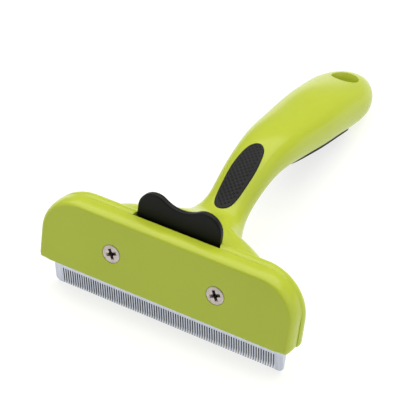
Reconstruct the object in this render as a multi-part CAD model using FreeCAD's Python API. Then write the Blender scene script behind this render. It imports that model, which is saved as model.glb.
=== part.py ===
import FreeCAD, Part
import math
import os

# Deshedding tool for pets: a wide T-shaped head with a fine steel comb, a bowed
# handle, and a thumb button that pushes a hair ejector down behind the comb.
#
# Every sub-part is drawn in the head's own frame, in millimetres: X across the head,
# Y from the cover's front face towards the handle's end, Z up the head from the
# cover's bottom edge. The last step tips the tool back, so that it lies as it does on
# a table: on the tips of its teeth and on the underside of the handle's end.

Vector = FreeCAD.Vector

# ---- lying on the table ----
TILT = 13.2                   # the head leans back by this many degrees

# ---- head shells ----
# Each outline: half of the width, top, radius of the large upper corners.
COVER = (54.5, 29.3, 16.0)
REAR = (55.0, 29.8, 17.5)     # the rear shell stands a little proud of the cover all round
HEAD_DEPTH = 12.4
FRONT_EDGE = 2.7              # rounding of the front rim
BACK_EDGE = 3.5
BOTTOM_EDGE = 0.9
WALL = 2.2
PARTING = 6.8                 # where the cover meets the rear shell
INNER_BACK = 10.95            # inner face of the rear wall
GROOVE = 0.45                 # depth of the shadow line at the parting, and half its width

# ---- comb blade ----
BLADE_HALF = 50.1
BLADE_FRONT = 6.5
BLADE_BACK = 9.3
BLADE_TOP = 17.5
TIP_Z = -13.7
BEVEL_Z = -5.2                # the front face is ground back from here to the tips
TIP_FRONT = 8.88
BLADE_CORNER = 2.2
TOOTH_PITCH = 1.05
TOOTH_GAP = 0.5
GAPS = 89
GAP_TOP = -5.7

# ---- screws ----
SCREW_X = 22.33
SCREW_Z = 13.5
SCREW_R = 1.95
SCREW_HEAD_R = 3.73
SCREW_LAND = 0.25             # the head's straight edge ends here and its cone begins
SCREW_END = 12.0
RECESS_DEPTH = 1.9
RECESS_HALF = 1.9
RECESS_WIDTH = 0.9
INSERT_R = 2.6
INSERT_BORE = 2.0
INSERT_END = 12.6
BOSS_R = 4.0

# ---- ejector and its button ----
TRAVEL = 8.0
EJECTOR_FRONT = 9.4
EJECTOR_BACK = 10.8
EJECTOR_BOTTOM = 0.3
BAR_HALF = 49.3
BAR_TOP = 9.4
TONGUE_HALF = 18.1
TONGUE_TOP = 26.4
LAP_Y = 10.1                  # the button's tang laps the tongue here
LAP_Z = 21.5
TANG_HALF = 15.0
STAKE_X = 6.0
STAKE_Z = 24.0
STAKE_R = 1.2
BUTTON_FRONT = 8.2
BUTTON_BACK = 10.8
BUTTON_HALF = 17.5
BUTTON_FOOT = 26.9
LOBE_R = 7.0
LOBE_TOP = 39.7
TROUGH_Z = 36.9
SLOT_HALF = 18.0
SLOT_BACK = 11.2

# ---- return springs ----
SPRING_X = 9.0
SPRING_Y = 11.3
SPRING_R = 1.6                # radius of the coil's centre line
WIRE_R = 0.22
SPRING_LOW = 6.2
SPRING_HIGH = 20.0
SPRING_TURNS = 8
WINDOW_HALF = 2.3
POST_Z = 4.5
POCKET_BACK = 13.3

# ---- handle ----
# Each station: how far back, height of the centre, half width, half height, and the
# exponent of the rounded section, where 2 is an ellipse and more is squarer.
ROOT = [
    (10.5, 15.0, 36.3, 13.4, 4.0),
    (16.6, 14.9, 34.3, 13.2, 3.7),
    (20.0, 14.8, 31.0, 13.0, 3.5),
    (23.7, 14.7, 25.2, 12.7, 3.2),
    (29.0, 14.7, 18.4, 11.6, 2.8),
]
HANDLE = [
    (36.0, 15.1, 13.8, 9.2, 2.4),
    (42.0, 16.5, 11.2, 7.6, 2.3),
    (48.0, 19.2, 9.3, 7.0, 2.3),
    (56.5, 24.7, 9.1, 6.9, 2.3),
    (64.0, 28.7, 9.6, 7.2, 2.3),
    (72.0, 31.4, 10.2, 7.7, 2.3),
    (84.0, 32.8, 11.4, 8.4, 2.3),
    (96.0, 32.3, 12.3, 9.2, 2.3),
    (110.0, 31.5, 13.4, 9.9, 2.3),
    (124.0, 30.9, 14.1, 10.2, 2.3),
    (138.0, 29.8, 14.6, 9.8, 2.3),
    (148.0, 29.2, 14.5, 8.9, 2.3),
    (156.0, 29.0, 12.6, 7.9, 2.3),
    (162.0, 28.8, 8.9, 6.4, 2.3),
    (165.6, 28.2, 4.6, 3.9, 2.3),
    (166.9, 27.7, 1.6, 1.5, 2.3),
]
SECTION_POINTS = 24
HANDLE_WALL = 2.8
HOLLOW_FROM = 84.0
HOLLOW_TO = 138.0

# ---- hang hole ----
HOLE_R = 5.4
HOLE_Y = 152.3
HOLE_Z = 37.7
HOLE_LEAN = 10.0              # the hole's axis leans back from the head's Z, in degrees

# ---- soft grips ----
THUMB_Y = 55.2
THUMB_Z = 31.2
THUMB_SLOPE = 31.3
THUMB_OUTLINE = [(-16.3, 0.0), (-14.4, 2.9), (-9.6, 4.3), (-2.0, 5.1), (5.5, 5.5),
                 (11.5, 5.0), (15.2, 3.1), (17.2, 0.0)]
THUMB_DEPTH = 1.2
THUMB_PROUD = 0.4
PALM_OUTLINE = [(79.0, 0.0), (83.5, 4.8), (92.0, 8.9), (104.0, 11.6), (118.0, 12.8),
                (130.0, 12.3), (138.0, 9.0), (141.5, 0.0)]
PALM_PROUD = 0.5
PALM_DEPTH = 2.0
CORE_DEPTH = 4.2


def rounded_outline(outline, inset, y):
    """Outline of one head shell, set in by inset, as a face in the plane Y = y."""
    half, top, radius = [value - inset for value in outline]
    low = inset
    diagonal = radius * math.cos(math.radians(45))
    centre_x = half - radius
    centre_z = top - radius
    a = Vector(-half, y, low)
    b = Vector(-half, y, centre_z)
    c = Vector(-centre_x, y, top)
    d = Vector(centre_x, y, top)
    e = Vector(half, y, centre_z)
    f = Vector(half, y, low)
    left_mid = Vector(-centre_x - diagonal, y, centre_z + diagonal)
    right_mid = Vector(centre_x + diagonal, y, centre_z + diagonal)
    edges = [
        Part.LineSegment(a, b).toShape(),
        Part.Arc(b, left_mid, c).toShape(),
        Part.LineSegment(c, d).toShape(),
        Part.Arc(d, right_mid, e).toShape(),
        Part.LineSegment(e, f).toShape(),
        Part.LineSegment(f, a).toShape(),
    ]
    return Part.Face(Part.Wire(edges))


def head_slab(outline, inset, y_from, y_to):
    return rounded_outline(outline, inset, y_from).extrude(Vector(0, y_to - y_from, 0))


def box(x_from, x_to, y_from, y_to, z_from, z_to):
    return Part.makeBox(x_to - x_from, y_to - y_from, z_to - z_from,
                        Vector(x_from, y_from, z_from))


def rod(radius, x, z, y_from, y_to):
    return Part.makeCylinder(radius, y_to - y_from, Vector(x, y_from, z), Vector(0, 1, 0))


def fuse_all(shapes):
    result = shapes[0].multiFuse(shapes[1:])
    return result.removeSplitter()


def round_rim(slab, y, radius):
    """Round the rim at Y = y over the sides and top, then the bottom edge."""
    rim = []
    for edge in slab.Edges:
        flat = abs(edge.BoundBox.YMin - y) < 1e-6 and abs(edge.BoundBox.YMax - y) < 1e-6
        if flat and edge.BoundBox.ZMax > 1.0:
            rim.append(edge)
    slab = slab.makeFillet(radius, rim)
    bottom = []
    for edge in slab.Edges:
        low = edge.BoundBox.ZMax < 1e-3
        inner_side = abs(edge.BoundBox.YMin - edge.BoundBox.YMax) < 1e-6
        at_parting = inner_side and abs(edge.BoundBox.YMin - y) > 3.0
        if low and not at_parting:
            bottom.append(edge)
    return slab.makeFillet(BOTTOM_EDGE, bottom)


def screw_places():
    return [(-SCREW_X, SCREW_Z), (SCREW_X, SCREW_Z)]


def make_front_cover():
    groove_y = PARTING - GROOVE
    shell = round_rim(head_slab(COVER, 0, 0, groove_y), 0, FRONT_EDGE)
    rim = head_slab(COVER, GROOVE, groove_y - 0.2, PARTING)
    cover = shell.fuse(rim)
    cavity = head_slab(COVER, WALL, WALL, PARTING + 1)
    cover = cover.cut(cavity)
    solids = [cover]
    for x, z in screw_places():
        solids.append(rod(BOSS_R + 0.6, x, z, WALL - 0.5, BLADE_FRONT))
    for side in (-1, 1):
        x = side * 40.0
        solids.append(box(x - 0.8, x + 0.8, WALL - 0.5, BLADE_FRONT, WALL - 0.5, 16.0))
    cover = fuse_all(solids)
    cuts = [box(-BLADE_HALF - 0.2, BLADE_HALF + 0.2, BLADE_FRONT, PARTING + 1, -1, WALL + 1)]
    for x, z in screw_places():
        cuts.append(rod(SCREW_R + 0.2, x, z, -1, BLADE_FRONT + 1))
        cuts.append(rod(SCREW_HEAD_R + 0.1, x, z, -1, SCREW_LAND))
        cone_depth = SCREW_HEAD_R + 0.1 - SCREW_R
        cuts.append(Part.makeCone(SCREW_HEAD_R + 0.1, SCREW_R, cone_depth,
                                  Vector(x, SCREW_LAND, z), Vector(0, 1, 0)))
    return cover.cut(Part.makeCompound(cuts))


def path_points():
    return ROOT + HANDLE


def slope_at(index):
    """Angle of the handle's centre line at a station, 0 in the flared root."""
    stations = path_points()
    if index < len(ROOT):
        return 0.0
    last = min(index + 1, len(stations) - 1)
    y0, z0 = stations[index - 1][:2]
    y1, z1 = stations[last][:2]
    return math.atan2(z1 - z0, y1 - y0)


def section(index, offset):
    """Closed section wire of the handle at a station, grown by offset."""
    y, z, half_width, half_height, squareness = path_points()[index]
    half_width = half_width + offset
    half_height = half_height + offset
    slope = slope_at(index)
    points = []
    for k in range(SECTION_POINTS):
        angle = 2 * math.pi * k / SECTION_POINTS
        c = math.cos(angle)
        s = math.sin(angle)
        across = half_width * math.copysign(abs(c) ** (2 / squareness), c)
        up = half_height * math.copysign(abs(s) ** (2 / squareness), s)
        points.append(Vector(across, y - up * math.sin(slope), z + up * math.cos(slope)))
    curve = Part.BSplineCurve()
    curve.interpolate(Points=points, PeriodicFlag=True)
    return Part.Wire(curve.toShape())


def handle_loft(offset, y_from=0.0, y_to=1000.0):
    wires = []
    for index, station in enumerate(path_points()):
        if y_from <= station[0] <= y_to and station[3] + offset > 0.4:
            wires.append(section(index, offset))
    return Part.makeLoft(wires, True, False, False)


def hole_axis():
    lean = math.radians(HOLE_LEAN)
    return Vector(0, math.sin(lean), math.cos(lean))


def hang_hole():
    axis = hole_axis()
    start = Vector(0, HOLE_Y, HOLE_Z) - axis * 30
    return Part.makeCylinder(HOLE_R, 45, start, axis)


def leaf(points, place):
    """Closed face bounded by a smooth mirrored outline; place turns (s, w) to a point."""
    ring = [place(s, w) for s, w in points]
    ring += [place(s, -w) for s, w in reversed(points[1:-1])]
    curve = Part.BSplineCurve()
    curve.interpolate(Points=ring, PeriodicFlag=True)
    return Part.Face(Part.Wire(curve.toShape()))


def thumb_prism():
    slope = math.radians(THUMB_SLOPE)
    along = Vector(0, math.cos(slope), math.sin(slope))
    outward = Vector(0, -math.sin(slope), math.cos(slope))
    middle = Vector(0, THUMB_Y, THUMB_Z)
    face = leaf(THUMB_OUTLINE, lambda s, w: middle + along * s + Vector(w, 0, 0) - outward * 5)
    return face.extrude(outward * 12)


def palm_prism(inset):
    outline = []
    middle = (PALM_OUTLINE[0][0] + PALM_OUTLINE[-1][0]) / 2
    for y, w in PALM_OUTLINE:
        shift = math.copysign(inset, middle - y) if w == 0 else 0
        outline.append((y + shift, max(w - inset, 0.0)))
    face = leaf(outline, lambda y, w: Vector(w, y, 5.0))
    prism = face.extrude(Vector(0, 0, 25.0))
    stations = [s for s in HANDLE if 70 <= s[0] <= 150]
    line = [Vector(-30, s[0], s[1] - 2.0) for s in stations]
    corners = line + [Vector(-30, line[-1].y, 0), Vector(-30, line[0].y, 0)]
    below = Part.Face(Part.makePolygon(corners + [corners[0]])).extrude(Vector(60, 0, 0))
    return prism.common(below)


def make_thumb_grip():
    skin = handle_loft(THUMB_PROUD, 20, 100).cut(handle_loft(-THUMB_DEPTH, 20, 100))
    return largest(skin.common(thumb_prism()))


def make_under_grip():
    skin = handle_loft(PALM_PROUD, 60, 160).cut(handle_loft(-PALM_DEPTH, 60, 160))
    return largest(skin.common(palm_prism(0)))


def make_handle_core():
    skin = handle_loft(-PALM_DEPTH, 60, 160).cut(handle_loft(-CORE_DEPTH, 60, 160))
    return largest(skin.common(palm_prism(0.6)))


def largest(shape):
    return max(shape.Solids, key=lambda solid: solid.Volume)


def make_rear_body():
    groove_y = PARTING + GROOVE
    shell = round_rim(head_slab(REAR, 0, groove_y, HEAD_DEPTH), HEAD_DEPTH, BACK_EDGE)
    rim = head_slab(COVER, GROOVE, PARTING, groove_y + 0.2)
    body = shell.fuse(rim)
    body = body.fuse(handle_loft(0))
    body = body.cut(head_slab(COVER, WALL, PARTING - 1, INNER_BACK))
    solids = [body]
    for x, z in screw_places():
        solids.append(rod(BOSS_R, x, z, BLADE_BACK, INNER_BACK + 0.5))
    for side in (-1, 1):
        x = side * 40.0
        solids.append(box(x - 2, x + 2, BLADE_BACK, INNER_BACK + 0.5, BAR_TOP + 1.0, 16.5))
    body = fuse_all(solids)
    cuts = [
        box(-BLADE_HALF - 0.2, BLADE_HALF + 0.2, PARTING - 1, EJECTOR_BACK + 0.15, -1, WALL + 1),
        box(-SLOT_HALF, SLOT_HALF, PARTING - 1, SLOT_BACK, COVER[1] - WALL - 1, COVER[1] + 12),
        handle_loft(-HANDLE_WALL, HOLLOW_FROM, HOLLOW_TO),
        hang_hole(),
        thumb_prism().cut(handle_loft(-THUMB_DEPTH, 20, 100)),
        palm_prism(0).cut(handle_loft(-HANDLE_WALL - 2.0, 60, 160)),
        palm_prism(0.6).cut(handle_loft(-CORE_DEPTH - 0.3, 60, 160)),
    ]
    for side in (-1, 1):
        x = side * SPRING_X
        half = SPRING_R + WIRE_R + 0.2
        cuts.append(box(x - half, x + half, INNER_BACK - 0.5, POCKET_BACK,
                        SPRING_LOW, SPRING_HIGH + 0.4))
    for x, z in screw_places():
        cuts.append(rod(INSERT_R, x, z, BLADE_BACK - 1, INSERT_END))
    body = body.cut(Part.makeCompound(cuts))
    posts = []
    for side in (-1, 1):
        x = side * SPRING_X
        posts.append(box(x - 2.1, x + 2.1, EJECTOR_FRONT + 0.1, INNER_BACK + 0.5,
                         POST_Z, SPRING_LOW))
    return largest(fuse_all([body] + posts))


def make_blade():
    profile = [
        Vector(-BLADE_HALF, BLADE_FRONT, BLADE_TOP),
        Vector(-BLADE_HALF, BLADE_BACK, BLADE_TOP),
        Vector(-BLADE_HALF, BLADE_BACK, TIP_Z),
        Vector(-BLADE_HALF, TIP_FRONT, TIP_Z),
        Vector(-BLADE_HALF, BLADE_FRONT, BEVEL_Z),
    ]
    face = Part.Face(Part.makePolygon(profile + [profile[0]]))
    blade = face.extrude(Vector(2 * BLADE_HALF, 0, 0))
    corners = []
    for edge in blade.Edges:
        bounds = edge.BoundBox
        if bounds.ZMax < TIP_Z + 0.01 and bounds.XMax - bounds.XMin < 0.01:
            corners.append(edge)
    blade = blade.makeFillet(BLADE_CORNER, corners)
    cuts = []
    radius = TOOTH_GAP / 2
    for k in range(GAPS):
        x = (k - (GAPS - 1) / 2) * TOOTH_PITCH
        slot = box(x - radius, x + radius, 4, 12, TIP_Z - 1, GAP_TOP - radius)
        cuts.append(slot.fuse(rod(radius, x, GAP_TOP - radius, 4, 12)).removeSplitter())
    for x, z in screw_places():
        cuts.append(rod(SCREW_R + 0.2, x, z, 4, 12))
    return blade.cut(Part.makeCompound(cuts))


def make_ejector():
    bar = box(-BAR_HALF, BAR_HALF, EJECTOR_FRONT, EJECTOR_BACK, EJECTOR_BOTTOM, BAR_TOP)
    tongue = box(-TONGUE_HALF, TONGUE_HALF, EJECTOR_FRONT, EJECTOR_BACK, BAR_TOP - 1, TONGUE_TOP)
    plate = fuse_all([bar, tongue])
    cuts = [box(-TONGUE_HALF, TONGUE_HALF, EJECTOR_FRONT - 1, LAP_Y, LAP_Z, TONGUE_TOP + 1)]
    for side in (-1, 1):
        x = side * SPRING_X
        cuts.append(box(x - WINDOW_HALF, x + WINDOW_HALF, EJECTOR_FRONT - 1, EJECTOR_BACK + 1,
                        POST_Z, SPRING_HIGH))
    plate = plate.cut(Part.makeCompound(cuts))
    stakes = [rod(STAKE_R, side * STAKE_X, STAKE_Z, EJECTOR_FRONT + 0.05, LAP_Y + 0.3)
              for side in (-1, 1)]
    return fuse_all([plate] + stakes)


def make_button():
    lobe_x = BUTTON_HALF - LOBE_R
    lobe_z = LOBE_TOP - LOBE_R
    drop = TROUGH_Z - lobe_z
    trough_r = (lobe_x ** 2 + drop ** 2 - LOBE_R ** 2) / (2 * (LOBE_R - drop))
    reach = LOBE_R / (LOBE_R + trough_r)
    join_x = lobe_x * (1 - reach)
    join_z = lobe_z + (drop + trough_r) * reach
    turn = math.radians(60)
    y = BUTTON_FRONT

    def at(x, z):
        return Vector(x, y, z)

    over = (lobe_x + LOBE_R * math.cos(turn), lobe_z + LOBE_R * math.sin(turn))
    edges = [
        Part.LineSegment(at(-BUTTON_HALF, BUTTON_FOOT), at(-BUTTON_HALF, lobe_z)).toShape(),
        Part.Arc(at(-BUTTON_HALF, lobe_z), at(-over[0], over[1]), at(-join_x, join_z)).toShape(),
        Part.Arc(at(-join_x, join_z), at(0, TROUGH_Z), at(join_x, join_z)).toShape(),
        Part.Arc(at(join_x, join_z), at(over[0], over[1]), at(BUTTON_HALF, lobe_z)).toShape(),
        Part.LineSegment(at(BUTTON_HALF, lobe_z), at(BUTTON_HALF, BUTTON_FOOT)).toShape(),
        Part.LineSegment(at(BUTTON_HALF, BUTTON_FOOT), at(-BUTTON_HALF, BUTTON_FOOT)).toShape(),
    ]
    body = Part.Face(Part.Wire(edges)).extrude(Vector(0, BUTTON_BACK - BUTTON_FRONT, 0))
    rim = []
    for edge in body.Edges:
        bounds = edge.BoundBox
        if bounds.YMax - bounds.YMin < 0.01 and bounds.ZMax > BUTTON_FOOT + 1:
            rim.append(edge)
    body = body.makeFillet(0.6, rim)
    tang = box(-TANG_HALF, TANG_HALF, EJECTOR_FRONT, LAP_Y, LAP_Z + 0.1, BUTTON_FOOT + 1)
    body = fuse_all([body, tang])
    holes = [rod(STAKE_R, side * STAKE_X, STAKE_Z, EJECTOR_FRONT - 1, LAP_Y + 1)
             for side in (-1, 1)]
    return body.cut(Part.makeCompound(holes))


def make_spring(x):
    height = SPRING_HIGH - SPRING_LOW - 2 * WIRE_R
    pitch = height / SPRING_TURNS
    helix = Part.makeHelix(pitch, height, SPRING_R)
    ring = Part.Wire(Part.makeCircle(WIRE_R, Vector(SPRING_R, 0, 0), Vector(0, 1, 0)))
    coil = Part.Wire(helix).makePipeShell([ring], True, True)
    coil.translate(Vector(x, SPRING_Y, SPRING_LOW + WIRE_R))
    return coil


def make_screw(x, z):
    cone_depth = SCREW_HEAD_R - SCREW_R
    cone_base = Vector(x, SCREW_LAND, z)
    head = Part.makeCone(SCREW_HEAD_R, SCREW_R, cone_depth, cone_base, Vector(0, 1, 0))
    disc = rod(SCREW_HEAD_R, x, z, 0.05, SCREW_LAND)
    shank = rod(SCREW_R, x, z, 1.0, SCREW_END)
    screw = fuse_all([head, disc, shank])
    slots = []
    for turn in (25, 115):
        slot = box(-RECESS_HALF, RECESS_HALF, -1, RECESS_DEPTH, -RECESS_WIDTH / 2, RECESS_WIDTH / 2)
        slot.rotate(Vector(0, 0, 0), Vector(0, 1, 0), turn)
        slot.translate(Vector(x, 0, z))
        slots.append(slot)
    return screw.cut(Part.makeCompound(slots))


def make_insert(x, z):
    outside = rod(INSERT_R, x, z, BLADE_BACK, INSERT_END)
    return outside.cut(rod(INSERT_BORE, x, z, BLADE_BACK - 1, INSERT_END + 1))


def make_parts():
    return {
        "front_cover": make_front_cover(),
        "rear_body": make_rear_body(),
        "comb_blade": make_blade(),
        "ejector_plate": make_ejector(),
        "thumb_button": make_button(),
        "return_spring_left": make_spring(-SPRING_X),
        "return_spring_right": make_spring(SPRING_X),
        "cover_screws": Part.makeCompound([make_screw(x, z) for x, z in screw_places()]),
        "screw_inserts": Part.makeCompound([make_insert(x, z) for x, z in screw_places()]),
        "thumb_grip": make_thumb_grip(),
        "under_grip": make_under_grip(),
        "handle_core": make_handle_core(),
    }


def lay_down(parts):
    """Tip every sub-part onto the table, with the origin under the middle of the tool."""
    whole = Part.makeCompound(list(parts.values()))
    whole.rotate(Vector(0, 0, 0), Vector(1, 0, 0), -TILT)
    bounds = whole.optimalBoundingBox(False)
    middle_y = (bounds.YMin + bounds.YMax) / 2
    for shape in parts.values():
        shape.rotate(Vector(0, 0, 0), Vector(1, 0, 0), -TILT)
        shape.translate(Vector(0, -middle_y, -bounds.ZMin))
    print("size", round(bounds.XLength, 2), round(bounds.YLength, 2), round(bounds.ZLength, 2))
    print("moved by", round(-middle_y, 3), round(-bounds.ZMin, 3))


os.makedirs("parts", exist_ok=True)
all_parts = make_parts()
lay_down(all_parts)
for name, shape in all_parts.items():
    shape.exportStep("parts/" + name + ".step")
    print(name, "solids", len(shape.Solids), "volume", round(shape.Volume, 1),
          "valid", shape.isValid())
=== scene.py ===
import math

import bmesh
import bpy
import numpy as np
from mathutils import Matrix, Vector


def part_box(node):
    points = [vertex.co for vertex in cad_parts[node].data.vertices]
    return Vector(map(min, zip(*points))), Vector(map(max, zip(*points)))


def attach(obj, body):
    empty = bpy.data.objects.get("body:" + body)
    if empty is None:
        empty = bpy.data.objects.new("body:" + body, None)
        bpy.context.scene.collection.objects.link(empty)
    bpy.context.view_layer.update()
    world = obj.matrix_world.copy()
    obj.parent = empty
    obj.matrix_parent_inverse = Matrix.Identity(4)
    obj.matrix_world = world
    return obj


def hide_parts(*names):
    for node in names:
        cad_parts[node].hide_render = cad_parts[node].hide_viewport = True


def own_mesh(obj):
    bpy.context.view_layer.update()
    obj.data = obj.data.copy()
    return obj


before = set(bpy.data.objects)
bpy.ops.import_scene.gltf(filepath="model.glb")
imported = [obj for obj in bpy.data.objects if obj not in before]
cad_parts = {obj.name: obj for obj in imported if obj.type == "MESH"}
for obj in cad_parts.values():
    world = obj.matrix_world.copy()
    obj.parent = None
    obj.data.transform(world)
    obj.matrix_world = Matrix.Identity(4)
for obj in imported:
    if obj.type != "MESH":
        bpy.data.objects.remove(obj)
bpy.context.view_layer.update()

# Looks of the deshedding tool. Shapes are drawn in the head's own frame, in
# millimetres: X across the head, Y from the cover's front face towards the handle's
# end, Z up the head from the cover's bottom edge. lay() turns them to the frame.

MM = 0.001
TILT = math.radians(13.2)

# ---- head ----
COVER = (54.5, 29.3, 16.0)        # half of the width, top, radius of the upper corners
REAR = (55.2, 29.8, 18.5)
LOW_CORNER = 2.05
LEAST_CORNER = 0.15               # lower corner of an outline that is set far in
HEAD_DEPTH = 12.4
PARTING = 6.8
GROOVE = 0.01                     # half of the joint line's width
GROOVE_DEPTH = 0.08
SHARP_EDGE = 0.07                 # bevel of the cover's edge along the joint line
STEP_BEVEL = (0.5, 0.95)          # inset and depth of the rear shell's bevel beside it
WALL = 2.2
INNER_BACK = 10.95
FRONT_EDGE = 1.9
EDGE_STRETCH = 2.6                # the cover's rim rounds off this much deeper than wide
BACK_EDGE = 3.5
FRONT_BOTTOM_EDGE = 0.45
BACK_BOTTOM_EDGE = 0.9
RIM_FADE = 4.0                    # the rim's rounding fades over this much of the bottom
FLAT_RIM = 0.1                    # flat margin inside a rounded rim
HEAD_CENTRE_Z = 15.0
SOFT_RINGS = 9                    # rings softened on either side of the crease at the root
SOFT_PASSES = 25

# ---- blade, screws, button, springs ----
BLADE_HALF = 50.1
BLADE_FRONT = 6.5
BLADE_BACK = 9.3
BLADE_TOP = 17.5
TIP_Z = -13.7
BLADE_GAP = 0.2                   # clearance at the blade's ends
GAP_SHADE_HALF = 49.4 * MM             # the sides of the blade's ends outside this get no painted shade
EJECTOR_BACK = 10.8
EJECTOR_GAP = 0.15                # clearance behind the ejector plate
SCREW_X = 22.33
SCREW_Z = 13.5
SCREW_R = 1.95
SCREW_HEAD_R = 3.73
SCREW_EDGE = 0.42                 # the head's straight edge ends here and its cone begins
SCREW_END = 12.0
SCREW_GAP = 0.2                   # clearance round the shank
SINK_GAP = 0.12                   # clearance round the head
THREAD_PITCH = 0.7
THREAD_DEPTH = 0.28
RECESS_TURNS = (25, 115)          # degrees that the cross recess's two arms are turned
RECESS_ENDS = ((-0.4, 2.5, 0.72), (2.1, 1.25, 0.4))    # depth, reach, half width of an arm
RECESS_PIT = [(1.15, -0.4), (0.8, 1.0), (0.5, 2.2), (0.05, 2.5)]
BOSS_R = 4.6
BUTTON_FRONT = 8.2
BUTTON_BACK = 10.8
BUTTON_HALF = 17.7
BUTTON_FOOT = 26.9
BUTTON_BEVEL = 0.95               # inset of its rounded edges
BUTTON_BEVEL_DEPTH = 0.55
LOBE_R = 7.0
LOBE_TOP = 40.0
TROUGH_Z = 36.9
SLOT_FRONT = 5.2
SLOT_HALF = 17.8
SLOT_MOUTH = 18.7                 # the slot's half width where it meets the cover
SLOT_BACK = 11.2
SPRING_X = 9.0
SPRING_Y = 11.3
SPRING_R = 1.6
WIRE_R = 0.22
SPRING_LOW = 6.2
SPRING_HIGH = 20.0
SPRING_TURNS = 8
CLOSED_TURN = 0.8                 # part of a turn that lies flat at each end
CLOSED_RISE = 0.3                 # what the closed ends climb

# ---- handle ----
# Each station: how far back, height of the centre, half width, half height, and the
# exponent of the rounded section, where 2 is an ellipse and more is squarer.
STATIONS = [
    (10.5, 15.0, 37.2, 13.4, 3.5),
    (16.6, 14.9, 35.4, 13.2, 3.3),
    (20.0, 14.8, 32.1, 13.0, 3.1),
    (23.7, 14.7, 26.9, 12.7, 2.9),
    (29.0, 14.7, 17.4, 11.6, 2.7),
    (36.0, 15.1, 13.8, 9.2, 2.4),
    (42.0, 16.5, 11.2, 7.6, 2.3),
    (48.0, 19.2, 9.3, 7.0, 2.3),
    (56.5, 24.7, 9.1, 6.9, 2.3),
    (64.0, 28.7, 9.6, 7.2, 2.3),
    (72.0, 31.4, 10.2, 7.7, 2.3),
    (84.0, 32.8, 11.4, 8.4, 2.3),
    (96.0, 32.3, 12.3, 9.2, 2.3),
    (110.0, 31.5, 13.4, 9.9, 2.3),
    (124.0, 30.9, 14.1, 10.2, 2.3),
    (138.0, 29.8, 14.6, 9.8, 2.3),
    (148.0, 29.2, 14.5, 8.9, 2.3),
    (156.0, 29.0, 12.6, 7.9, 2.3),
    (162.3, 28.8, 8.9, 6.4, 2.3),
    (166.0, 28.2, 4.6, 3.9, 2.3),
    (167.3, 27.7, 0.6, 0.5, 2.3),
]
FLARED = 5                        # the first stations stand upright, without a slope
ROOT_MEETS_HEAD = 12.4
ROOT_FREE = 16.6
EVEN_AT = 70.0                    # the handle's rings are spaced evenly as they are here
EVEN_LENGTH = 30.0                # and get that spacing over this length
HOLE_R = 5.4
HOLE_Y = 152.3
HOLE_Z = 37.7
HOLE_LEAN = math.radians(10.0)
HOLE_LENGTH = 18.0
HOLE_RIM = 0.8                    # how much the hole widens at the skin

# ---- camera ----
CAMERA = (246.7, -493.4, 368.9)
CAMERA_AIM = (0.1, 31.7, 27.7)
CAMERA_LENS = 153.3

# ---- soft grips: along the handle's centre line, half width, height and texture ----
THUMB_FROM = 43.0
THUMB_TO = 72.5
THUMB_WIDTH = [(0.0, 0.0), (0.07, 2.8), (0.22, 4.2), (0.45, 4.9), (0.66, 5.1), (0.83, 4.4),
               (0.95, 2.9), (1.0, 0.0)]
THUMB_ASIDE = 0.05                # radians that the thumb's leaf lies to the right
THUMB_PROUD = 0.42
THUMB_DEPTH = 1.2
THUMB_PITS = (2.1, 0.78, 0.42)    # pitch, radius and depth of the dimples
THUMB_BORDER = 0.9                # plain margin round them
GRIP_ROUNDING = 0.75
GRIP_GAP = 0.05                   # clearance under a grip
PIT_FADE = 0.5
POCKET_WIDER = 1.012              # a grip's pocket against the grip
POCKET_LIFT = 3.0                 # how far its cutter stands out of the skin
PALM_FROM = 77.5
PALM_TO = 142.1
PALM_WIDTH = [(0.0, 0.0), (0.07, 5.2), (0.17, 8.8), (0.35, 11.4), (0.6, 12.5), (0.85, 12.5),
              (0.96, 8.9), (1.0, 0.0)]
PALM_PROUD = 0.5
PALM_DEPTH = 2.0
PALM_PITS = (2.6, 0.7, 0.3)
PALM_BORDER = 1.4

# ---- fineness of the meshes ----
TOP_POINTS = 27
ARC_POINTS = 28
SIDE_POINTS = 12
CORNER_POINTS = 14
BOTTOM_POINTS = 60
RIM_RINGS = 16
BACK_RINGS = 26
ROOT_RINGS = 12
RING_STEP = 0.8
BUTTON_RINGS = 7
COIL_POINTS = 560
WIRE_POINTS = 10
THUMB_GRID = (170, 61)            # points along and across
PALM_GRID = (190, 81)
POCKET_GRID = (60, 17)


def lay(points):
    """Points of the head's frame, in millimetres, turned to the row frame in metres."""
    points = np.asarray(points, float)
    cos, sin = math.cos(TILT), math.sin(TILT)
    low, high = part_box("comb_blade")
    shift_y = high.y / MM - (cos * BLADE_BACK + sin * BLADE_TOP)
    shift_z = low.z / MM - (cos * TIP_Z - sin * BLADE_BACK)
    out = np.empty_like(points)
    out[..., 0] = points[..., 0]
    out[..., 1] = cos * points[..., 1] + sin * points[..., 2] + shift_y
    out[..., 2] = -sin * points[..., 1] + cos * points[..., 2] + shift_z
    return out * MM


# ------------------------------------------------------------------ mesh helpers


def new_object(name, points, faces):
    mesh = bpy.data.meshes.new(name)
    mesh.from_pydata([tuple(p) for p in lay(points)], [], faces)
    mesh.update()
    made = bpy.data.objects.new(name, mesh)
    bpy.context.scene.collection.objects.link(made)
    return made


def loft(name, rings):
    """Closed rings of points, skinned one to the next, with flat ends."""
    rings = np.asarray(rings, float)
    count, around = rings.shape[:2]
    faces = []
    for i in range(count - 1):
        here = i * around
        there = here + around
        for j in range(around):
            k = (j + 1) % around
            faces.append((here + j, here + k, there + k, there + j))
    faces.append(tuple(reversed(range(around))))
    faces.append(tuple(range((count - 1) * around, count * around)))
    return new_object(name, rings.reshape(-1, 3), faces)


def fix_normals(obj):
    mesh = bmesh.new()
    mesh.from_mesh(obj.data)
    bmesh.ops.recalc_face_normals(mesh, faces=mesh.faces)
    mesh.to_mesh(obj.data)
    mesh.free()


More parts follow.
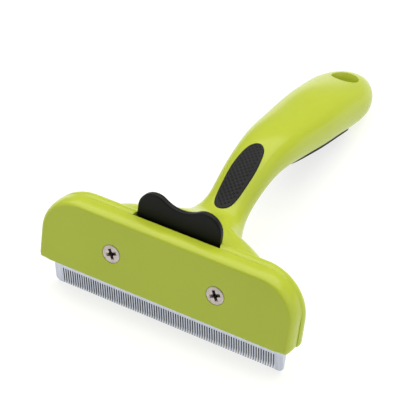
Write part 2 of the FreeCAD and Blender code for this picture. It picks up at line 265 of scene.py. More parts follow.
def apply_modifiers(obj):
    graph = bpy.context.evaluated_depsgraph_get()
    done = bpy.data.meshes.new_from_object(obj.evaluated_get(graph))
    obj.modifiers.clear()
    old = obj.data
    obj.data = done
    bpy.data.meshes.remove(old)


def boolean(obj, cutters, operation="DIFFERENCE"):
    for cutter in cutters:
        fix_normals(cutter)
        step = obj.modifiers.new(cutter.name, "BOOLEAN")
        step.operation = operation
        step.solver = "MANIFOLD"
        step.object = cutter
    apply_modifiers(obj)
    for cutter in cutters:
        bpy.data.objects.remove(cutter)


def smooth(obj, angle=35.0):
    obj.data.shade_smooth()
    obj.data.set_sharp_from_angle(angle=math.radians(angle))


def finish_piece(obj, body, nodes, finish):
    obj.data.materials.clear()
    obj.data.materials.append(finish)
    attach(obj, body)
    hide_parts(*nodes)
    return obj


def brick(name, x_from, x_to, y_from, y_to, z_from, z_to):
    corners = [(x, y, z) for x in (x_from, x_to) for y in (y_from, y_to) for z in (z_from, z_to)]
    faces = [(0, 1, 3, 2), (4, 6, 7, 5), (0, 4, 5, 1), (2, 3, 7, 6), (0, 2, 6, 4), (1, 5, 7, 3)]
    return new_object(name, corners, faces)


def turned(name, profile, x, z, around=64):
    """A shape turned about the axis through (x, z) along Y; profile is (radius, y)."""
    angles = np.linspace(0, 2 * math.pi, around, endpoint=False)
    rings = []
    for radius, y in profile:
        ring = [(x + radius * math.cos(a), y, z + radius * math.sin(a)) for a in angles]
        rings.append(ring)
    return loft(name, rings)


# ------------------------------------------------------------------ outlines


def arc(cx, cz, radius, start, end, count):
    turns = np.radians(np.linspace(start, end, count))
    return np.stack([cx + radius * np.cos(turns), cz + radius * np.sin(turns)], axis=1)


def head_outline(shape, inset=0.0):
    """Outline of a head shell from the top's middle, clockwise, as (x, z) points."""
    half, top, radius = [value - inset for value in shape]
    low = inset
    corner = max(LOW_CORNER - inset, LEAST_CORNER)
    along_top = np.linspace(0, half - radius, TOP_POINTS)
    down_side = np.linspace(top - radius, low + corner, SIDE_POINTS)
    along_bottom = np.linspace(half - corner, 0, BOTTOM_POINTS)
    right = [
        np.stack([along_top, np.full(TOP_POINTS, top)], axis=1),
        arc(half - radius, top - radius, radius, 90, 0, ARC_POINTS)[1:],
        np.stack([np.full(SIDE_POINTS, half), down_side], axis=1)[1:],
        arc(half - corner, low + corner, corner, 0, -90, CORNER_POINTS)[1:],
        np.stack([along_bottom, np.full(BOTTOM_POINTS, low)], axis=1)[1:],
    ]
    right = np.concatenate(right)
    left = right[1:-1][::-1] * (-1, 1)
    return np.concatenate([right, left])


def outline_normals(outline):
    """Unit vectors that point into the outline."""
    ahead = np.roll(outline, -1, axis=0) - outline
    behind = outline - np.roll(outline, 1, axis=0)
    ahead /= np.linalg.norm(ahead, axis=1)[:, None]
    behind /= np.linalg.norm(behind, axis=1)[:, None]
    along = ahead + behind
    along /= np.linalg.norm(along, axis=1)[:, None]
    return np.stack([along[:, 1], -along[:, 0]], axis=1)


def ease(value):
    """Eased step: 0 below 0, 1 above 1."""
    value = np.clip(value, 0, 1)
    return value * value * (3 - 2 * value)


def rim_radii(outline, side, bottom):
    """Rounding of the rim at each point: full at the top and sides, small along the bottom."""
    share = ease(2 * outline[:, 1] / LOW_CORNER)
    return bottom + (side - bottom) * share


def late_radii(outline, side, bottom):
    """As rim_radii, but full round the corner too, and fading along the bottom."""
    from_end = outline[:, 0].max() - LOW_CORNER - abs(outline[:, 0])
    on_bottom = outline[:, 1] < LOW_CORNER
    share = 1 - on_bottom * ease(from_end / RIM_FADE)
    return bottom + (side - bottom) * share


def flat_ring(outline, y):
    y = np.broadcast_to(y, (len(outline),))
    return np.stack([outline[:, 0], y, outline[:, 1]], axis=1)


def distance_inside(points, outline):
    """Distance from each point to the outline, and which of its segments is nearest."""
    a = outline
    b = np.roll(outline, -1, axis=0)
    ab = b - a
    ap = points[:, None, :] - a[None, :, :]
    t = np.clip((ap * ab).sum(-1) / (ab * ab).sum(-1), 0, 1)
    gap = ap - t[..., None] * ab
    lengths = np.sqrt((gap * gap).sum(-1))
    nearest = lengths.argmin(axis=1)
    return lengths.min(axis=1), nearest


# ------------------------------------------------------------------ front cover


def cover_rings():
    """Rings from the front face, over the rounded rim, to the joint line."""
    outline = head_outline(COVER)
    inward = outline_normals(outline)
    radii = late_radii(outline, FRONT_EDGE, FRONT_BOTTOM_EDGE)
    depths = EDGE_STRETCH * rim_radii(outline, FRONT_EDGE, FRONT_BOTTOM_EDGE)
    rings = [flat_ring(outline + inward * (radii[:, None] + FLAT_RIM), 0.0)]
    for turn in np.radians(np.linspace(90, 0, RIM_RINGS)):
        inset = radii * (1 - math.cos(turn))
        ring = outline + inward * inset[:, None]
        rings.append(flat_ring(ring, depths * (1 - math.sin(turn))))
    edge = PARTING - GROOVE
    rings.append(flat_ring(outline, edge - SHARP_EDGE))
    rings.append(flat_ring(outline + inward * SHARP_EDGE, edge))
    rings.append(flat_ring(outline + inward * GROOVE_DEPTH, edge))
    rings.append(flat_ring(outline + inward * GROOVE_DEPTH, PARTING))
    return rings


def blade_notch(y_from, y_to):
    """Cutter for the opening in the head's bottom that the blade passes through."""
    half = BLADE_HALF + BLADE_GAP
    return brick("notch", -half, half, y_from, y_to, -1, WALL + 1)


def screw_sink(side):
    """Cutter for a countersunk hole, a hair wider than its screw."""
    wide = SCREW_HEAD_R + SINK_GAP
    narrow = SCREW_R + SCREW_GAP
    profile = [(wide + 0.25, -0.5), (wide + 0.25, -0.001), (wide, 0.2), (wide, 0.3),
               (narrow, 0.3 + wide - narrow), (narrow, BLADE_FRONT + 1)]
    return turned("sink", profile, side * SCREW_X, SCREW_Z)


def make_front_cover(finish):
    cover = loft("front_cover_shell", cover_rings())
    fix_normals(cover)
    inside = head_outline(COVER, WALL)
    cavity = loft("cavity", [flat_ring(inside, WALL), flat_ring(inside, PARTING + 1)])
    boolean(cover, [cavity, blade_notch(BLADE_FRONT, PARTING + 1)])
    post = [(BOSS_R, WALL - 0.5), (BOSS_R, BLADE_FRONT)]
    boolean(cover, [turned("boss", post, side * SCREW_X, SCREW_Z) for side in (-1, 1)], "UNION")
    boolean(cover, [screw_sink(side) for side in (-1, 1)])
    smooth(cover)
    return finish_piece(cover, "tool_body", ["front_cover"], finish)


# ------------------------------------------------------------------ handle surface


def natural_spline(t, values, wanted):
    """Smooth curve through values at t, read at wanted."""
    t = np.asarray(t, float)
    values = np.asarray(values, float)
    n = len(t)
    h = np.diff(t)
    system = np.eye(n)
    right = np.zeros(n)
    for i in range(1, n - 1):
        system[i, i - 1] = h[i - 1]
        system[i, i] = 2 * (h[i - 1] + h[i])
        system[i, i + 1] = h[i]
        right[i] = 6 * ((values[i + 1] - values[i]) / h[i] - (values[i] - values[i - 1]) / h[i - 1])
    bend = np.linalg.solve(system, right)
    wanted = np.asarray(wanted, float)
    i = np.clip(np.searchsorted(t, wanted) - 1, 0, n - 2)
    a = (t[i + 1] - wanted) / h[i]
    b = (wanted - t[i]) / h[i]
    curve = a * values[i] + b * values[i + 1]
    return curve + ((a ** 3 - a) * bend[i] + (b ** 3 - b) * bend[i + 1]) * h[i] ** 2 / 6


def station_slopes():
    slopes = []
    for i in range(len(STATIONS)):
        if i < FLARED:
            slopes.append(0.0)
            continue
        last = STATIONS[min(i + 1, len(STATIONS) - 1)]
        first = STATIONS[i - 1]
        slopes.append(math.atan2(last[1] - first[1], last[0] - first[0]))
    return slopes


TABLE = np.array(STATIONS)
STEPS = np.sqrt((np.diff(TABLE[:, :4], axis=0) ** 2).sum(axis=1))
LENGTHS = np.concatenate([[0.0], np.cumsum(STEPS)])
SLOPES = np.array(station_slopes())


def at_length(t):
    """Centre (y, z), half width, half height, exponent and slope at a length t."""
    values = [natural_spline(LENGTHS, TABLE[:, k], t) for k in range(5)]
    return values + [natural_spline(LENGTHS, SLOPES, t)]


def length_at(y):
    """Length t where the centre line is at y."""
    t = np.linspace(0, LENGTHS[-1], 2000)
    return np.interp(y, natural_spline(LENGTHS, TABLE[:, 0], t), t)


def handle_points(t, theta, lift=0.0):
    """Points of the handle's skin, at length t and polar angle theta, raised by lift."""
    y, z, half_width, half_height, power, slope = at_length(t)
    half_width = np.maximum(half_width + lift, 0.05)
    half_height = np.maximum(half_height + lift, 0.05)
    cos = np.cos(theta)
    sin = np.sin(theta)
    reach = (np.abs(cos / half_width) ** power + np.abs(sin / half_height) ** power) ** (-1 / power)
    up = reach * sin
    return np.stack([reach * cos, y - up * np.sin(slope), z + up * np.cos(slope)], axis=-1)


def even_angles(count, t):
    """Polar angles from the top, clockwise, evenly spread round the section at t."""
    dense = math.pi / 2 - np.linspace(0, 2 * math.pi, 1441)
    points = handle_points(np.full(1441, t), dense)
    steps = np.linalg.norm(np.diff(points, axis=0), axis=1)
    run = np.concatenate([[0.0], np.cumsum(steps)])
    return np.interp(np.arange(count) * run[-1] / count, run, dense)


# ------------------------------------------------------------------ rear body


def back_surface(points, outline, radii):
    """How far back the head's rounded rear face is at each (x, z) point."""
    gap, nearest = distance_inside(points, outline)
    radius = radii[nearest]
    short = np.clip(radius - gap, 0, radius)
    return HEAD_DEPTH - radius + np.sqrt(np.maximum(radius ** 2 - short ** 2, 0))


def step_rings(outline, inward):
    """Rings of the fine step along the joint line."""
    joint = head_outline(COVER, GROOVE_DEPTH)
    edge = PARTING + GROOVE
    return [
        flat_ring(joint, PARTING),
        flat_ring(joint, edge),
        flat_ring(outline + inward * STEP_BEVEL[0], edge),
        flat_ring(outline, edge + STEP_BEVEL[1]),
    ]


def soften(rings, crease):
    """Draws the rings on either side of a crease towards their neighbours."""
    first = crease - SOFT_RINGS
    last = crease + SOFT_RINGS + 1
    for _ in range(SOFT_PASSES):
        neighbours = (rings[first - 1:last - 1] + rings[first + 1:last + 1]) / 2
        rings[first:last] = rings[first:last] * 0.5 + neighbours * 0.5


def rear_rings():
    """Rings from the joint line, over the head's back and the neck, to the handle's end."""
    outline = head_outline(REAR)
    inward = outline_normals(outline)
    radii = rim_radii(outline, BACK_EDGE, BACK_BOTTOM_EDGE)
    rings = step_rings(outline, inward)
    theta = np.unwrap(np.arctan2(outline[:, 1] - HEAD_CENTRE_Z, outline[:, 0]))
    root_t = length_at(ROOT_MEETS_HEAD)
    root = handle_points(np.full(len(theta), root_t), theta)[:, [0, 2]]
    for share in 0.5 * (1 - np.cos(np.linspace(0, math.pi, BACK_RINGS))):
        ring = outline + (root - outline) * share
        rings.append(flat_ring(ring, back_surface(ring, outline, radii)))
    crease = len(rings) - 1
    start = rings[-1]
    free_t = length_at(ROOT_FREE)
    for share in np.linspace(0, 1, ROOT_RINGS)[1:]:
        ring = handle_points(np.full(len(theta), root_t + (free_t - root_t) * share), theta)
        ring[:, 1] = start[:, 1] + (ROOT_FREE - start[:, 1]) * share
        rings.append(ring)
    even = even_angles(len(theta), length_at(EVEN_AT))
    along = np.arange(free_t, LENGTHS[-1] + 0.01, RING_STEP)[1:]
    for t in list(along[:-1]) + [LENGTHS[-1]]:
        mix = ease((t - free_t) / EVEN_LENGTH)
        angles = theta * (1 - mix) + even * mix
        rings.append(handle_points(np.full(len(theta), t), angles))
    rings = np.array(rings)
    soften(rings, crease)
    return rings


def hole_cutter():
    """The hang hole, with a small chamfer where it meets the handle's top and underside."""
    lean = Vector((0, math.sin(HOLE_LEAN), math.cos(HOLE_LEAN)))
    across = Vector((0, math.cos(HOLE_LEAN), -math.sin(HOLE_LEAN)))
    profile = [(HOLE_R + 6.0, 5.0), (HOLE_R + 1.3 * HOLE_RIM, 0.3), (HOLE_R + HOLE_RIM, -0.4),
               (HOLE_R + 0.6 * HOLE_RIM, -1.1), (HOLE_R, -2.4)]
    low = [(radius, -HOLE_LENGTH - height) for radius, height in reversed(profile)]
    rings = []
    for radius, height in profile + low:
        middle = Vector((0, HOLE_Y, HOLE_Z)) + lean * height
        ring = []
        for a in np.linspace(0, 2 * math.pi, 96, endpoint=False):
            aside = Vector((radius * math.cos(a), 0, 0))
            ring.append(tuple(middle + aside + across * radius * math.sin(a)))
        rings.append(ring)
    return loft("hole", rings)


def make_rear_body(finish, recesses):
    body = loft("rear_body_shell", rear_rings())
    fix_normals(body)
    inside = head_outline(COVER, WALL)
    cavity = loft("cavity", [flat_ring(inside, PARTING - 1), flat_ring(inside, INNER_BACK)])
    notch = blade_notch(PARTING - 1, EJECTOR_BACK + EJECTOR_GAP)
    right = [(SLOT_MOUTH, SLOT_FRONT), (SLOT_MOUTH, PARTING),
             (SLOT_HALF, BUTTON_FRONT + 1), (SLOT_HALF, SLOT_BACK)]
    plan = right + [(-x, y) for x, y in reversed(right)]
    slot = loft("slot", [[(x, y, z) for x, y in plan] for z in (COVER[1] - WALL - 1, COVER[1] + 5)])
    boolean(body, [cavity, notch, slot, hole_cutter()] + recesses)
    smooth(body)
    return finish_piece(body, "tool_body", ["rear_body"], finish)


# ------------------------------------------------------------------ soft grips


def grip_grid(y_from, y_to, widths, middle, rows, columns):
    """Lengths and angles over a leaf on the handle's top or underside."""
    share = 0.5 * (1 - np.cos(np.linspace(0, math.pi, rows)))
    stops = np.array([s for s, _ in widths])
    # The square of the width runs smoothly through its zero at the leaf's round ends.
    squares = np.array([w * w for _, w in widths])
    width = np.sqrt(np.maximum(natural_spline(stops, squares, share), 0))
    width[0] = width[-1] = 0.02
    t_from, t_to = length_at(y_from), length_at(y_to)
    t = t_from + (t_to - t_from) * share
    half_width = at_length(t)[2]
    dense = np.linspace(0, math.pi / 2 * 0.999, 400)
    swing = []
    for i in range(rows):
        line = handle_points(np.full(400, t[i]), math.copysign(math.pi / 2, middle) + dense)
        swing.append(np.interp(min(width[i], half_width[i] * 0.995), np.abs(line[:, 0]), dense))
    swing = np.array(swing)
    across = np.sin(np.linspace(-math.pi / 2, math.pi / 2, columns))
    theta = middle + swing[:, None] * across[None, :]
    return t, theta


def grip_points(t, theta, lift):
    """Points over a leaf's grid, raised by lift from the handle's skin."""
    rows, columns = theta.shape
    points = handle_points(np.repeat(t, columns), theta.ravel(), np.ravel(lift))
    return points.reshape(rows, columns, 3)


def developed(t, theta):
    """Flat coordinates over the leaf: along the handle, and round it from the middle."""
    skin = grip_points(t, theta, np.zeros(theta.shape))
    steps = np.linalg.norm(np.diff(skin, axis=1), axis=2)
    run = np.concatenate([np.zeros((len(t), 1)), np.cumsum(steps, axis=1)], axis=1)
    run -= run[:, -1:] / 2
    middle = skin[:, theta.shape[1] // 2]
    forward = np.concatenate([[0.0], np.cumsum(np.linalg.norm(np.diff(middle, axis=0), axis=1))])
    return np.stack([np.broadcast_to(forward[:, None], run.shape), run], axis=2)


def pits(flat, pitch, radius, depth):
    """Staggered round pits over the flat coordinates."""
    sunk = np.zeros(flat.shape[:2])
    for shift in (0.0, 0.5):
        u = flat[..., 0] / pitch + shift
        v = flat[..., 1] / pitch + shift
        gap = np.hypot(u - np.round(u), v - np.round(v)) * pitch
        sunk = np.maximum(sunk, ease(1 - gap / radius))
    return sunk * depth


def closed_sheet(name, outer, inner):
    """A closed skin between two grids of points that lie one above the other."""
    rows, columns = outer.shape[:2]
    count = rows * columns
    faces = []
    for i in range(rows - 1):
        for j in range(columns - 1):
            a = i * columns + j
            quad = (a, a + 1, a + columns + 1, a + columns)
            faces.append(quad)
            faces.append(tuple(count + k for k in reversed(quad)))
    border = list(range(columns))
    border += [i * columns + columns - 1 for i in range(1, rows)]
    border += [(rows - 1) * columns + j for j in range(columns - 2, -1, -1)]
    border += [i * columns for i in range(rows - 2, 0, -1)]
    for a, b in zip(border, border[1:] + border[:1]):
        faces.append((b, a, count + a, count + b))
    sheet = new_object(name, np.concatenate([outer.reshape(-1, 3), inner.reshape(-1, 3)]), faces)
    fix_normals(sheet)
    return sheet


def make_grip(name, leaf, grid, proud, depth, texture, border, nodes, finish):
    t, theta = grip_grid(*leaf, *grid)
    flat = developed(t, theta)
    edge = np.concatenate([flat[:, 0], flat[::-1, -1]])
    gap, _ = distance_inside(flat.reshape(-1, 2), edge)
    gap = gap.reshape(theta.shape)
    short = np.clip(GRIP_ROUNDING - gap, 0, GRIP_ROUNDING)
    lift = proud - GRIP_ROUNDING + np.sqrt(GRIP_ROUNDING ** 2 - short ** 2)
    inside = np.clip((gap - border) / PIT_FADE, 0, 1)
    lift -= pits(flat, *texture) * inside
    outer = grip_points(t, theta, lift)
    inner = grip_points(t, theta, np.full(theta.shape, -depth))
    grip = closed_sheet(name, outer, inner)
    smooth(grip, 50)
    return finish_piece(grip, "tool_body", nodes, finish)


def recess(leaf, depth):
    """The pocket that a grip lies in, a hair wider and deeper than the grip."""
    t, theta = grip_grid(*leaf, *POCKET_GRID)
    middle = leaf[-1]
    theta = middle + (theta - middle) * POCKET_WIDER
    high = grip_points(t, theta, np.full(theta.shape, POCKET_LIFT))
    low = grip_points(t, theta, np.full(theta.shape, -depth))
    return closed_sheet("recess", high, low)


# ------------------------------------------------------------------ button


def button_outline():
    """Outline of the button's two lobes from its left foot, clockwise, as (x, z)."""
    lobe_x = BUTTON_HALF - LOBE_R
    lobe_z = LOBE_TOP - LOBE_R
    drop = TROUGH_Z - lobe_z
    trough_r = (lobe_x ** 2 + drop ** 2 - LOBE_R ** 2) / (2 * (LOBE_R - drop))
    meet = math.degrees(math.atan2(drop + trough_r, lobe_x))
    left = arc(-lobe_x, lobe_z, LOBE_R, 180, meet, 40)
    trough = arc(0, TROUGH_Z + trough_r, trough_r, 180 + meet, 360 - meet, 31)
    right = left[::-1] * (-1, 1)
    sides = 12
    up = np.stack([np.full(sides, -BUTTON_HALF), np.linspace(BUTTON_FOOT, lobe_z, sides)], axis=1)
    down = up[::-1] * (-1, 1)
    foot = np.stack([np.linspace(BUTTON_HALF, -BUTTON_HALF, 20), np.full(20, BUTTON_FOOT)], axis=1)
    return np.concatenate([up, left[1:], trough[1:-1], right, down[1:], foot[1:-1]])


def make_button(finish):
    outline = button_outline()
    inward = outline_normals(outline)
    rings = []
    for face, into, turns in ((BUTTON_FRONT, 1, (90, 0)), (BUTTON_BACK, -1, (0, 90))):
        for turn in np.radians(np.linspace(*turns, BUTTON_RINGS)):
            ring = outline + inward * (BUTTON_BEVEL * (1 - math.cos(turn)))
            y = face + into * BUTTON_BEVEL_DEPTH * (1 - math.sin(turn))
            rings.append(flat_ring(ring, y))
    button = loft("thumb_button_plate", rings)
    fix_normals(button)
    smooth(button, 40)
    return finish_piece(button, "ejector", ["thumb_button"], finish)


# ------------------------------------------------------------------ screws and springs


def recess_arm(x, turn):
    """Cutter for one arm of a screw's cross recess, which narrows as it goes down."""
    a = math.radians(turn)
    along = np.array([math.cos(a), math.sin(a)])
    beside = np.array([-along[1], along[0]])
    corners = []
    for y, reach, half in RECESS_ENDS:
        for s, w in ((-1, -1), (1, -1), (1, 1), (-1, 1)):
            p = along * reach * s + beside * half * w
            corners.append((x + p[0], y, SCREW_Z + p[1]))
    faces = [(0, 1, 2, 3), (7, 6, 5, 4), (0, 4, 5, 1), (1, 5, 6, 2), (2, 6, 7, 3), (3, 7, 4, 0)]
    return new_object("arm", corners, faces)


def screw_profile():
    """Head, threads and point of a screw, as (radius, y)."""
    r = SCREW_HEAD_R
    profile = [(0.9, 0.05), (r - 0.45, 0.05), (r - 0.16, 0.08), (r - 0.03, 0.16), (r, 0.28),
               (r, SCREW_EDGE), (SCREW_R, SCREW_EDGE + r - SCREW_R)]
    root = SCREW_R - THREAD_DEPTH
    y = SCREW_EDGE + r - SCREW_R + 0.4
    while y < SCREW_END - 0.6:
        profile += [(SCREW_R, y), (root, y + 0.3), (root, y + 0.4)]
        y += THREAD_PITCH
    return profile + [(SCREW_R - 0.3, SCREW_END - 0.2), (SCREW_R - 0.9, SCREW_END)]


def make_screw(side):
    x = side * SCREW_X
    name = "cover_screw_left" if side < 0 else "cover_screw_right"
    screw = turned(name, screw_profile(), x, SCREW_Z, 72)
    fix_normals(screw)
    cutters = [recess_arm(x, turn) for turn in RECESS_TURNS]
    cutters.append(turned("pit", RECESS_PIT, x, SCREW_Z, 40))
    boolean(screw, cutters)
    smooth(screw, 30)
    return screw


def coil_rings(side):
    """Rings of round wire along a coil with closed ends."""
    turns = SPRING_TURNS + 2
    share = np.linspace(0, 1, COIL_POINTS)
    closed = 1.0 / turns
    climb = np.clip((share - closed * CLOSED_TURN) / (1 - closed * 2 * CLOSED_TURN), 0, 1)
    height = SPRING_LOW + WIRE_R + climb * (SPRING_HIGH - SPRING_LOW - 2 * WIRE_R - CLOSED_RISE)
    height += share * CLOSED_RISE
    angle = share * turns * 2 * math.pi
    x = side * SPRING_X + SPRING_R * np.cos(angle)
    y = SPRING_Y + SPRING_R * np.sin(angle)
    centre = np.stack([x, y, height], axis=1)
    along = np.gradient(centre, axis=0)
    along /= np.linalg.norm(along, axis=1)[:, None]
    out = np.stack([np.cos(angle), np.sin(angle), np.zeros(COIL_POINTS)], axis=1)
    up = np.cross(along, out)
    up /= np.linalg.norm(up, axis=1)[:, None]
    rings = []
    for a in np.linspace(0, 2 * math.pi, WIRE_POINTS, endpoint=False):
        rings.append(centre + WIRE_R * (math.cos(a) * out + math.sin(a) * up))
    return np.array(rings).transpose(1, 0, 2)


def make_spring(side, finish):
    """A coil of round wire with closed ends, standing on its lower end."""
    name = "return_spring_left" if side < 0 else "return_spring_right"
    spring = loft(name + "_coil", coil_rings(side))
    fix_normals(spring)
    smooth(spring, 60)
    finish_piece(spring, "tool_body", [name], finish)
    foot = lay([[side * SPRING_X, SPRING_Y, SPRING_LOW]])[0]
    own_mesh(spring)
    return spring


# ------------------------------------------------------------------ materials


def material(name):
    made = bpy.data.materials.new(name)
    made.use_nodes = True
    return made, made.node_tree.nodes, made.node_tree.links


def noise(nodes, links, scale, detail=2.0, roughness=0.5, stretch=None):
    place = nodes.new("ShaderNodeTexCoord")
    texture = nodes.new("ShaderNodeTexNoise")
    texture.inputs["Scale"].default_value = scale
    texture.inputs["Detail"].default_value = detail
    texture.inputs["Roughness"].default_value = roughness
    source = place.outputs["Object"]
    if stretch:
        mapping = nodes.new("ShaderNodeMapping")
        mapping.inputs["Scale"].default_value = stretch
        links.new(source, mapping.inputs["Vector"])
        source = mapping.outputs["Vector"]
    links.new(source, texture.inputs["Vector"])
    return texture.outputs["Fac"]


def spread(nodes, links, source, low, high, from_low=0.3, from_high=0.7):
    fit = nodes.new("ShaderNodeMapRange")
    fit.inputs["From Min"].default_value = from_low
    fit.inputs["From Max"].default_value = from_high
    fit.inputs["To Min"].default_value = low
    fit.inputs["To Max"].default_value = high
    links.new(source, fit.inputs["Value"])
    return fit.outputs["Result"]


def mixed(nodes, links, factor, first, second):
    mix = nodes.new("ShaderNodeMix")
    mix.data_type = "RGBA"
    links.new(factor, mix.inputs["Factor"])
    for value, socket in ((first, mix.inputs["A"]), (second, mix.inputs["B"])):
        if isinstance(value, tuple):
            socket.default_value = value + (1.0,)
        else:
            links.new(value, socket)
    return mix.outputs["Result"]


def bump(nodes, links, height, strength, distance, chain=None):
    made = nodes.new("ShaderNodeBump")
    made.inputs["Strength"].default_value = strength
    made.inputs["Distance"].default_value = distance
    links.new(height, made.inputs["Height"])
    if chain is not None:
        links.new(chain, made.inputs["Normal"])
    return made.outputs["Normal"]


def linear(r, g, b):
    """A colour given as sRGB shares, for a shader."""
    return tuple(v / 12.92 if v <= 0.04045 else ((v + 0.055) / 1.055) ** 2.4 for v in (r, g, b))


def edge_share(nodes, links, low, high):
    """How much a point is on an outside edge, or in a hollow if the limits are swapped."""
    geometry = nodes.new("ShaderNodeNewGeometry")
    return spread(nodes, links, geometry.outputs["Pointiness"], 0.0, 1.0, low, high)


def green_plastic():
    made, nodes, links = material("green_plastic")
    shader = nodes["Principled BSDF"]
    broad = spread(nodes, links, noise(nodes, links, 28.0, 3.0), 0.0, 1.0)
    base = mixed(nodes, links, broad, (0.395, 0.47, 0.031), (0.415, 0.49, 0.035))
    links.new(base, shader.inputs["Base Color"])
    fine = noise(nodes, links, 900.0, 4.0, 0.6)
    links.new(spread(nodes, links, fine, 0.2, 0.27), shader.inputs["Roughness"])
    ripple = bump(nodes, links, noise(nodes, links, 60.0, 2.0), 0.015, 0.0005)
    links.new(bump(nodes, links, fine, 0.012, 0.00003, ripple), shader.inputs["Normal"])
    shader.inputs["Specular IOR Level"].default_value = 0.34
    shader.inputs["Subsurface Weight"].default_value = 0.15
    shader.inputs["Subsurface Radius"].default_value = (0.8, 1.0, 0.2)
    shader.inputs["Subsurface Scale"].default_value = 0.0015
    return made


def black_plastic(name, shade, rough):
    made, nodes, links = material(name)
    shader = nodes["Principled BSDF"]
    broad = spread(nodes, links, noise(nodes, links, 60.0, 3.0), 0.0, 1.0)
    dark = linear(shade * 0.82, shade * 0.88, shade)
    light = linear(shade * 1.1, shade * 1.12, shade * 1.2)
    base = mixed(nodes, links, broad, dark, light)
    # Painted highlight: outside edges are lightened to nearly twice the base shade.
    painted_edge_highlight = edge_share(nodes, links, 0.51, 0.58)
    base = mixed(nodes, links, painted_edge_highlight, base, linear(shade * 1.9, shade * 1.9, shade * 2.1))
    links.new(base, shader.inputs["Base Color"])
    fine = noise(nodes, links, 1600.0, 5.0, 0.65)
    links.new(spread(nodes, links, fine, rough - 0.06, rough + 0.08), shader.inputs["Roughness"])
    links.new(bump(nodes, links, fine, 0.18, 0.0001), shader.inputs["Normal"])
    shader.inputs["Specular IOR Level"].default_value = 0.2
    return made


def soft_rubber():
    made, nodes, links = material("soft_rubber")
    shader = nodes["Principled BSDF"]
    broad = spread(nodes, links, noise(nodes, links, 90.0, 3.0), 0.0, 1.0)
    base = mixed(nodes, links, broad, (0.0078, 0.0083, 0.0105), (0.0125, 0.0132, 0.0165))
    # Painted shade: the dimples are darkened towards near black.
    hollow = nodes.new("ShaderNodeNewGeometry")
    sunk = spread(nodes, links, hollow.outputs["Pointiness"], 1.0, 0.0, 0.44, 0.5)
    base = mixed(nodes, links, sunk, base, (0.005, 0.005, 0.005))
    links.new(base, shader.inputs["Base Color"])
    fine = noise(nodes, links, 2200.0, 6.0, 0.7)
    links.new(spread(nodes, links, fine, 0.58, 0.75), shader.inputs["Roughness"])
    links.new(bump(nodes, links, fine, 0.3, 0.0001), shader.inputs["Normal"])
    shader.inputs["Specular IOR Level"].default_value = 0.25
    return made


def gap_shade_share(nodes, links):
    """One on the sides of the blade's gaps, which get painted shade."""
    place = nodes.new("ShaderNodeTexCoord")
    shares = []
    limits = (("Normal", 0.6, 0.8), ("Object", GAP_SHADE_HALF + 0.0002, GAP_SHADE_HALF - 0.0002))
    for output, low, high in limits:
        split = nodes.new("ShaderNodeSeparateXYZ")
        links.new(place.outputs[output], split.inputs["Vector"])
        size = nodes.new("ShaderNodeMath")
        size.operation = "ABSOLUTE"
        links.new(split.outputs["X"], size.inputs[0])
        shares.append(spread(nodes, links, size.outputs["Value"], 0.0, 1.0, low, high))
    both = nodes.new("ShaderNodeMath")
    both.operation = "MULTIPLY"
    for share, socket in zip(shares, both.inputs):
        links.new(share, socket)
    return both.outputs["Value"]


def metal(name, dark, light, rough, stretch, grain, gap_shade=False):
    made, nodes, links = material(name)
    shader = nodes["Principled BSDF"]
    shader.inputs["Metallic"].default_value = 1.0
    brush = noise(nodes, links, grain, 5.0, 0.7, stretch)
    base = mixed(nodes, links, spread(nodes, links, brush, 0.0, 1.0), dark, light)
    # Painted shade: hollows such as a screw's cross recess are darkened to about a third of the dark
    # colour.
    hollow = edge_share(nodes, links, 0.49, 0.44)
    base = mixed(nodes, links, hollow, base, tuple(value * 0.35 for value in dark))
    if gap_shade:
        # Painted shade: the sides of the blade's gaps are painted near black and not metallic,
        # standing in for the shade in the gaps.
        gap_shade_mask = gap_shade_share(nodes, links)
        base = mixed(nodes, links, gap_shade_mask, base, (0.02, 0.024, 0.032))
        links.new(spread(nodes, links, gap_shade_mask, 1.0, 0.0, 0.0, 1.0), shader.inputs["Metallic"])
        shader.inputs["Specular IOR Level"].default_value = 0.15
    links.new(base, shader.inputs["Base Color"])
    links.new(spread(nodes, links, brush, rough - 0.07, rough + 0.09), shader.inputs["Roughness"])
    links.new(bump(nodes, links, brush, 0.12, 0.00006), shader.inputs["Normal"])
    return made


# ------------------------------------------------------------------ stage


def make_floor():
    span = 3.0
    mesh = bpy.data.meshes.new("floor")
    corners = [(-span, -span, 0), (span, -span, 0), (span, span, 0), (-span, span, 0)]
    mesh.from_pydata(corners, [], [(0, 1, 2, 3)])
    floor = bpy.data.objects.new("floor", mesh)
    floor.location.z = -0.00002
    bpy.context.scene.collection.objects.link(floor)
    made, nodes, links = material("pale_floor")
    shader = nodes["Principled BSDF"]
    tone = spread(nodes, links, noise(nodes, links, 3.0), 0.0, 1.0)
    base = mixed(nodes, links, tone, (0.32, 0.32, 0.32), (0.34, 0.34, 0.34))
    links.new(base, shader.inputs["Base Color"])
    shader.inputs["Roughness"].default_value = 0.9
    shader.inputs["Specular IOR Level"].default_value = 0.1
    shader.inputs["Emission Color"].default_value = (1.0, 1.0, 1.0, 1.0)
    shader.inputs["Emission Strength"].default_value = 0.72
    mesh.materials.append(made)


def area_light(name, place, target, size, power, colour=(1, 1, 1)):
    data = bpy.data.lights.new(name, "AREA")
    data.shape = "RECTANGLE"
    data.size, data.size_y = size
    data.energy = power
    data.color = colour
    light = bpy.data.objects.new(name, data)
    light.location = place
    aim = Vector(target) - Vector(place)
    light.rotation_euler = aim.to_track_quat("-Z", "Y").to_euler()
    bpy.context.scene.collection.objects.link(light)


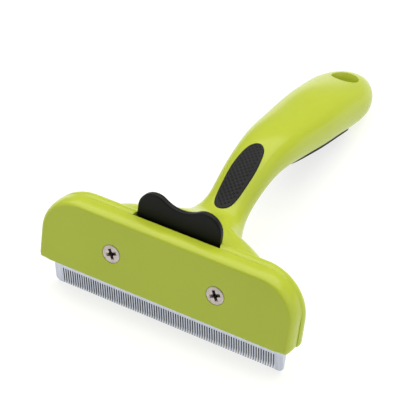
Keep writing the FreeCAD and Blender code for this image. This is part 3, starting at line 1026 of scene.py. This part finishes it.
def make_lights():
    world = bpy.data.worlds.new("studio")
    world.use_nodes = True
    background = world.node_tree.nodes["Background"]
    background.inputs["Color"].default_value = (0.92, 1.0, 0.97, 1.0)
    background.inputs["Strength"].default_value = 0.32
    bpy.context.scene.world = world
    area_light("key", (-0.10, 0.24, 0.95), (0, 0, 0.02), (1.7, 1.3), 17.6, (1.0, 0.94, 0.85))
    area_light("side", (0.85, 0.05, 0.4), (0, 0, 0.02), (1.1, 0.7), 2.4, (1.0, 0.97, 0.92))
    area_light("fill", (-0.32, -0.36, 0.16), (-0.05, -0.07, 0.03), (0.25, 0.25), 0.22)


def make_camera():
    """A long lens from the front right, looking down, level with the horizon."""
    place, aim = [Vector(point) for point in lay([CAMERA, CAMERA_AIM])]
    data = bpy.data.cameras.new("camera")
    data.sensor_width = 36.0
    data.lens = CAMERA_LENS
    data.clip_start = 0.02
    data.clip_end = 20.0
    camera = bpy.data.objects.new("camera", data)
    camera.location = place
    camera.rotation_euler = (aim - place).to_track_quat("-Z", "Y").to_euler()
    bpy.context.scene.collection.objects.link(camera)
    bpy.context.scene.camera = camera


# ------------------------------------------------------------------ assembly


def repaint(node, finish):
    """A better material on a CAD node that keeps its own shape."""
    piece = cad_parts[node]
    for place in piece.material_slots:
        place.material = finish
    smooth(piece, 30)


make_camera()
make_floor()
make_lights()
bpy.context.scene.view_settings.view_transform = "Standard"

green = green_plastic()
button_black = black_plastic("button_black", 0.045, 0.42)
ejector_black = black_plastic("ejector_black", 0.16, 0.5)
rubber = soft_rubber()
steel = metal("brushed_steel", (0.45, 0.475, 0.56), (0.62, 0.65, 0.74), 0.3, (40, 1, 1), 60.0, True)
nickel = metal("screw_nickel", linear(0.62, 0.58, 0.57), linear(0.80, 0.77, 0.75), 0.36, None, 700.0)
brass = metal("insert_brass", linear(0.72, 0.56, 0.26), linear(0.83, 0.68, 0.38), 0.35, None, 500.0)
wire = metal("spring_wire", linear(0.66, 0.67, 0.69), linear(0.8, 0.81, 0.83), 0.25, None, 900.0)

THUMB_LEAF = (THUMB_FROM, THUMB_TO, THUMB_WIDTH, math.pi / 2 - THUMB_ASIDE)
PALM_LEAF = (PALM_FROM, PALM_TO, PALM_WIDTH, -math.pi / 2)
make_front_cover(green)
pockets = [recess(THUMB_LEAF, THUMB_DEPTH + GRIP_GAP), recess(PALM_LEAF, PALM_DEPTH + GRIP_GAP)]
make_rear_body(green, pockets)
make_grip("thumb_grip_pad", THUMB_LEAF, THUMB_GRID, THUMB_PROUD, THUMB_DEPTH, THUMB_PITS,
          THUMB_BORDER, ["thumb_grip"], rubber)
make_grip("under_grip_pad", PALM_LEAF, PALM_GRID, PALM_PROUD, PALM_DEPTH, PALM_PITS,
          PALM_BORDER, ["under_grip"], rubber)
make_button(button_black)
screws = [make_screw(side) for side in (-1, 1)]
for screw in screws:
    finish_piece(screw, "tool_body", ["cover_screws"], nickel)
for side in (-1, 1):
    make_spring(side, wire)
repaint("comb_blade", steel)
repaint("ejector_plate", ejector_black)
repaint("screw_inserts", brass)
repaint("handle_core", ejector_black)
